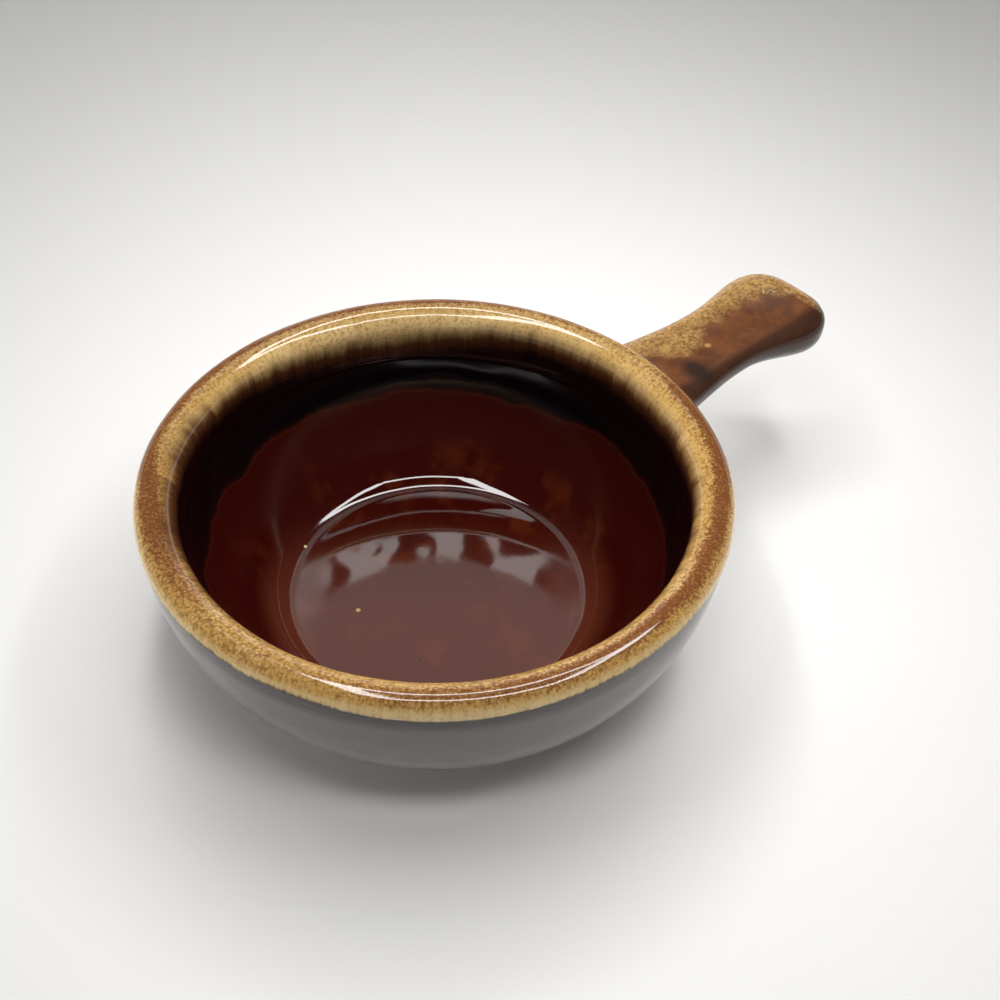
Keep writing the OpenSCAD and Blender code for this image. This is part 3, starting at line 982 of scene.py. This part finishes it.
@ceramic("handle_glaze")
def handle_material(g, vector):
    c = bpy.context.scene.glaze_colours
    patch_place, root_dark_reflection_place, spot_place = (48.0, 1.0, 0.0), (61.0, -4.0, 0.0), (86.0, -1.0, 45.0)
    wander = g.times(g.minus(g.noise(vector, 4.0, 3.0, 0.6), 0.5), 7.0)
    at = g.plus(g.attribute("tan"), wander)
    # by the root the mottle reaches over to the middle
    patch = g.vector("DISTANCE", g.vector("MULTIPLY", vector, (0.6, 1.0, 0.0)), patch_place)
    at = g.plus(at, g.ranged(patch, 7.0, 2.0, 0.0, 5.5))
    cover = g.ranged(at, -4.5, 4.0, 0.0, 0.72)
    froth = froth_group(g, vector, Cover=cover, Grain=0.55, Softness=0.42)
    mask = g.times(froth["Mask"], g.ranged(cover, 0.02, 0.3))
    cloud = g.noise(vector, 5.0, 3.0, 0.6)
    grain = g.noise(vector, 1.1, 2.0, 0.6)
    brown = g.mix(g.ranged(cloud, 0.3, 0.7, 0.0, 0.5), c.crown, c.ink)
    brown = g.mix(g.ranged(at, -3.0, 3.0, 0.0, 0.8), brown, c.toffee)
    # darker along the near ridge, and painted shade and dark reflection in the hollow at the root
    ridge = g.plus(g.separate(vector)[1], g.times(g.minus(cloud, 0.5), 3.0))
    brown = g.mix(g.ranged(ridge, -7.5, -10.5, 0.0, 0.75), brown, c.ink)
    root_dark_reflection = g.vector("DISTANCE", g.vector("MULTIPLY", vector, (0.8, 0.55, 0.0)), root_dark_reflection_place)
    root_dark_reflection = g.plus(root_dark_reflection, g.times(cloud, 2.0))
    brown = g.mix(g.ranged(root_dark_reflection, 5.0, 2.0, 0.0, 0.9), brown, c.ink)
    base = g.mix(mask, brown, g.mix(g.ranged(grain, 0.38, 0.68, 0.1, 0.9), c.golden, c.toffee))
    spot = g.vector("DISTANCE", g.vector("ADD", vector, g.combine(0.0, grain, 0.0)), spot_place)
    base = g.mix(g.ranged(spot, 1.5, 0.7), base, c.golden)
    # the handle's underside takes the outside's grey brown: a painted reflection of the table
    base = g.mix(g.ranged(g.attribute("side"), -0.1, -0.35), base, c.outer)
    bands = rim_group(g, vector, Run=g.attribute("run"))
    base = g.mix(g.ranged(g.attribute("root"), 0.55, 0.95), base, bands["Colour"])
    peel = peel_group(g, vector, Depth=0.012)["Height"]
    height = g.plus(peel, g.times(froth["Relief"], mask, 0.05))
    return base, height, 0.2, 1.5


def clay(g, vector, tone):
    grit = g.noise(vector, 0.35, 3.0, 0.7)
    cloud = g.noise(vector, 7.0, 2.0)
    base = g.mix(cloud, tone, tuple(v * 0.8 for v in tone))
    base = g.mix(g.ranged(grit, 0.62, 0.72, 0.0, 0.6), base, tuple(v * 0.35 for v in tone))
    return base, g.times(grit, 0.05), g.ranged(grit, 0.3, 0.7, 0.75, 0.95), 1.45


@ceramic("bare_clay")
def foot_material(g, vector):
    return clay(g, vector, bpy.context.scene.glaze_colours.clay)


@ceramic("stoneware")
def body_material(g, vector):
    return clay(g, vector, bpy.context.scene.glaze_colours.clay)


@ceramic("luting_slip")
def luting_material(g, vector):
    return clay(g, vector, bpy.context.scene.glaze_colours.slip)


# Stage

CAMERA_TURN = math.radians(-36.5)
TABLE_SIZE = 4.0


def faced(way):
    """A direction, or a place in millimetres, of the photograph's frame in the row's frame."""
    return Matrix.Rotation(CAMERA_TURN, 3, "Z") @ Vector(way)


def placed(point, side, up, ahead):
    """Matrix that puts an object at a point, looking ahead."""
    return Matrix.Translation(point) @ Matrix((side, up, -ahead)).transposed().to_4x4()


def make_camera():
    tilt_down, far = math.radians(49.39), 304.6
    pan, tilt, roll = 0.0520, 0.0923, math.radians(2.54)
    place = Vector((0, -far * math.cos(tilt_down), far * math.sin(tilt_down)))
    ahead = Vector((0, math.cos(tilt_down), -math.sin(tilt_down)))
    right = Vector((1, 0, 0))
    up = right.cross(ahead)
    ahead = (ahead + pan * right + tilt * up).normalized()
    right = ahead.cross(Vector((0, 0, 1))).normalized()
    up = right.cross(ahead)
    side = math.cos(roll) * right + math.sin(roll) * up
    up = -math.sin(roll) * right + math.cos(roll) * up
    data = bpy.data.cameras.new("photo_camera")
    data.lens, data.sensor_width = 43.2, 36
    data.clip_start, data.clip_end = 0.01, 20
    camera = add_object("photo_camera", data)
    camera.matrix_world = placed(faced(place) * MM, faced(side), faced(up), faced(ahead))
    bpy.context.scene.camera = camera


def make_tube(name, place, aim, size, glow, lights=True, mirrored=True):
    """An area lamp. lights and mirrored say whether matt surfaces and glossy ones show it."""
    data = bpy.data.lights.new(name, "AREA")
    data.shape, data.size, data.size_y = "RECTANGLE", size[0] * MM, size[1] * MM
    data.energy = glow * math.pi * data.size * data.size_y
    lamp = add_object(name, data)
    lamp.visible_diffuse, lamp.visible_glossy = lights, mirrored
    side, ahead = faced((1, 0, 0)), faced(Vector(aim) - Vector(place)).normalized()
    lamp.matrix_world = placed(faced(place) * MM, side, side.cross(ahead), ahead)


def make_room():
    studio = bpy.context.scene.studio
    world = bpy.data.worlds.new("pale_room")
    bpy.context.scene.world = world
    g = graph_of(world)
    way = g.node("TexCoord").outputs["Generated"]
    height = g.separate(way)[2]
    towards = g.vector("DOT_PRODUCT", way, faced((0, 1, 0)))
    aside = g.vector("DOT_PRODUCT", way, faced((1, 0, 0)))
    # a pale low wall and ceiling ahead, with a bright broken strip along the ceiling's edge, which sinks at
    # the sides. Each pair of heights, from -1 to 1, fades from dark to bright.
    sink, wall_top, ceiling = 1.8, (0.5, 0.4), (0.7295, 0.7315)
    strip_foot, strip_top, waves = (0.7095, 0.711), (0.7325, 0.731), 0.016
    above = g.minus(height, g.times(aside, aside, sink))
    ahead_only = g.times(g.ranged(towards, 0.30, 0.50), g.ranged(g.math("ABSOLUTE", aside), 0.34, 0.20))
    pale = g.times(g.math("MAXIMUM", g.ranged(height, *wall_top), g.ranged(above, *ceiling)), ahead_only)
    wall = g.share(pale, studio.dark, studio.sky)
    wavy = g.plus(above, g.times(g.minus(g.noise(way, 0.04, 0.0), 0.5), waves))
    gaps = g.noise(g.vector("ADD", way, (0.31, 0.17, 0.0)), 0.038, 0.6, 0.5, 0.9)
    strip = g.times(g.ranged(wavy, *strip_foot), g.ranged(above, *strip_top), g.ranged(gaps, 0.475, 0.495))
    strip = g.times(strip, ahead_only, studio.strip)
    horizon = g.ranged(height, 0.20, 0.10)
    level = g.math("MAXIMUM", g.math("MAXIMUM", wall, strip), horizon)
    # the soft light from low down, on all sides but the near one and stronger at the left, isn't mirrored
    ray = g.node("LightPath").outputs
    soft = g.times(g.ranged(height, 0.32, 0.06), g.ranged(towards, -0.45, 0.1))
    soft = g.times(soft, g.ranged(aside, -0.9, 0.9, 1.6, 0.7), studio.low_light)
    soft = g.times(soft, g.minus(1.0, ray["Is Glossy Ray"]))
    level = g.plus(level, soft)
    backdrop = 0.8
    level = g.plus(level, g.times(ray["Is Camera Ray"], g.minus(backdrop, level)))
    g.end("World", g.node("Background", {"Color": (1.0, 0.995, 0.985), "Strength": level}))


def make_table():
    studio = bpy.context.scene.studio
    bm = bmesh.new()
    bmesh.ops.create_grid(bm, x_segments=1, y_segments=1, size=TABLE_SIZE)
    mesh = bpy.data.meshes.new("table")
    bm.to_mesh(mesh)
    bm.free()
    table = add_object("table", mesh)
    material = bpy.data.materials.new("pale_table")
    g = graph_of(material)
    shader = g.node("BsdfPrincipled", {"Base Color": studio.table, "Roughness": 0.6})
    # from below the camera sees through it
    clear = g.node("BsdfTransparent")
    back = g.node("NewGeometry").outputs["Backfacing"]
    seen = g.node("LightPath").outputs["Is Camera Ray"]
    both = g.fed("MixShader", (g.times(back, seen), shader.outputs[0], clear.outputs[0]))
    g.end("Material", both)
    mesh.materials.append(material)


def make_stage():
    studio = bpy.context.scene.studio
    make_camera()
    make_room()
    make_table()
    left, right, near, far, high, tube = -50, 110, -75, 105, 280, 30
    middle = ((left + right) / 2, (near + far) / 2)
    across, along = (right - left, tube), (tube, far - near)
    for name, x, y, size in (
        ("tube_near", middle[0], near, across),
        ("tube_far", middle[0], far, across),
        ("tube_left", left, middle[1], along),
        ("tube_right", right, middle[1], along),
    ):
        make_tube(name, (x, y, high), (x, y, 0), size, studio.glow, lights=y > near)
    # the shadow and the table's shading show softer lights than the frame that the glaze mirrors
    for name, place, aim, size, glow in (
        ("soft_near", (middle[0], -140, high), (0, 0, 0), (160, 46), studio.near_light),
        ("soft_far", (middle[0], 290, high), (middle[0], 290, 0), (420, 60), studio.far_light),
        ("tube_behind", (0, 286, 285), (0, 0, 0), (300, 18), studio.back_glow),
    ):
        make_tube(name, place, aim, size, glow, mirrored=False)
    bpy.context.scene.view_settings.view_transform = "Standard"


def dress_clay():
    for name in ("bowl_body", "handle"):
        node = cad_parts[name]
        node.data.materials.clear()
        node.data.materials.append(body_material())


# Operators


class BOWL_OT_inside_coat(bpy.types.Operator):
    """Add the brown glaze inside, from the crown down to the floor"""

    bl_idname, bl_label = "bowl.inside_coat", "Inside Glaze"
    bl_options = {"REGISTER", "UNDO"}

    def execute(self, context):
        make_inside_coat()
        return {"FINISHED"}


class BOWL_OT_outside_coat(bpy.types.Operator):
    """Add the brown glaze outside, parted at the handle's luting"""

    bl_idname, bl_label = "bowl.outside_coat", "Outside Glaze"
    bl_options = {"REGISTER", "UNDO"}

    def execute(self, context):
        make_outside_coat()
        return {"FINISHED"}


class BOWL_OT_rim_coat(bpy.types.Operator):
    """Add the tan drip glaze over the rim"""

    bl_idname, bl_label = "bowl.rim_coat", "Rim Drip Glaze"
    bl_options = {"REGISTER", "UNDO"}

    def execute(self, context):
        make_rim_coat()
        return {"FINISHED"}


class BOWL_OT_underside(bpy.types.Operator):
    """Add the brown glaze on the underside inside the foot ring"""

    bl_idname, bl_label = "bowl.underside", "Underside Glaze"
    bl_options = {"REGISTER", "UNDO"}

    def execute(self, context):
        make_underside()
        return {"FINISHED"}


class BOWL_OT_foot(bpy.types.Operator):
    """Add the turned foot ring of bare clay"""

    bl_idname, bl_label = "bowl.foot", "Foot Ring"
    bl_options = {"REGISTER", "UNDO"}

    def execute(self, context):
        make_foot()
        return {"FINISHED"}


class BOWL_OT_luting(bpy.types.Operator):
    """Add the fillet of slip that joins the handle to the wall"""

    bl_idname, bl_label = "bowl.luting", "Luting Fillet"
    bl_options = {"REGISTER", "UNDO"}

    def execute(self, context):
        make_luting()
        return {"FINISHED"}


class BOWL_OT_handle_coat(bpy.types.Operator):
    """Add the brown glaze round the handle and its luting"""

    bl_idname, bl_label = "bowl.handle_coat", "Handle Glaze"
    bl_options = {"REGISTER", "UNDO"}

    def execute(self, context):
        make_handle_coat()
        return {"FINISHED"}


class BOWL_OT_handle_streak(bpy.types.Operator):
    """Add the tan drip glaze along one ridge of the handle"""

    bl_idname, bl_label = "bowl.handle_streak", "Handle Drip Glaze"
    bl_options = {"REGISTER", "UNDO"}

    def execute(self, context):
        make_handle_streak()
        return {"FINISHED"}


class BOWL_OT_clay(bpy.types.Operator):
    """Give the bowl's and the handle's solids their fired clay"""

    bl_idname, bl_label = "bowl.clay", "Fired Clay"
    bl_options = {"REGISTER", "UNDO"}

    def execute(self, context):
        dress_clay()
        return {"FINISHED"}


class BOWL_OT_stage(bpy.types.Operator):
    """Add the camera, the table, the room and the tube lights"""

    bl_idname, bl_label = "bowl.stage", "Stage"
    bl_options = {"REGISTER", "UNDO"}

    def execute(self, context):
        make_stage()
        return {"FINISHED"}


OPERATORS = (
    BOWL_OT_stage,
    BOWL_OT_clay,
    BOWL_OT_inside_coat,
    BOWL_OT_outside_coat,
    BOWL_OT_rim_coat,
    BOWL_OT_underside,
    BOWL_OT_foot,
    BOWL_OT_luting,
    BOWL_OT_handle_coat,
    BOWL_OT_handle_streak,
)


class BOWL_PT_pieces(bpy.types.Panel):
    """Lists the pieces of the bowl and their sizes"""

    bl_label = "Soup Bowl"
    bl_space_type, bl_region_type, bl_category = "VIEW_3D", "UI", "Soup Bowl"

    def draw(self, context):
        for operator in OPERATORS:
            self.layout.operator(operator.bl_idname)
        for group in ("bowl_sizes", "glaze_colours", "studio"):
            box = self.layout.box()
            kept = getattr(context.scene, group)
            for name in type(kept).__annotations__:
                box.prop(kept, name)


CLASSES = (BowlSizes, GlazeColours, StudioSettings, *OPERATORS, BOWL_PT_pieces)


def register():
    for made in CLASSES:
        bpy.utils.register_class(made)
    bpy.types.Scene.bowl_sizes = PointerProperty(type=BowlSizes)
    bpy.types.Scene.glaze_colours = PointerProperty(type=GlazeColours)
    bpy.types.Scene.studio = PointerProperty(type=StudioSettings)


def unregister():
    del bpy.types.Scene.studio, bpy.types.Scene.glaze_colours, bpy.types.Scene.bowl_sizes
    for made in reversed(CLASSES):
        bpy.utils.unregister_class(made)


def main():
    register()
    for operator in OPERATORS:
        family, name = operator.bl_idname.split(".")
        getattr(getattr(bpy.ops, family), name)()


if __name__ == "__main__":
    main()
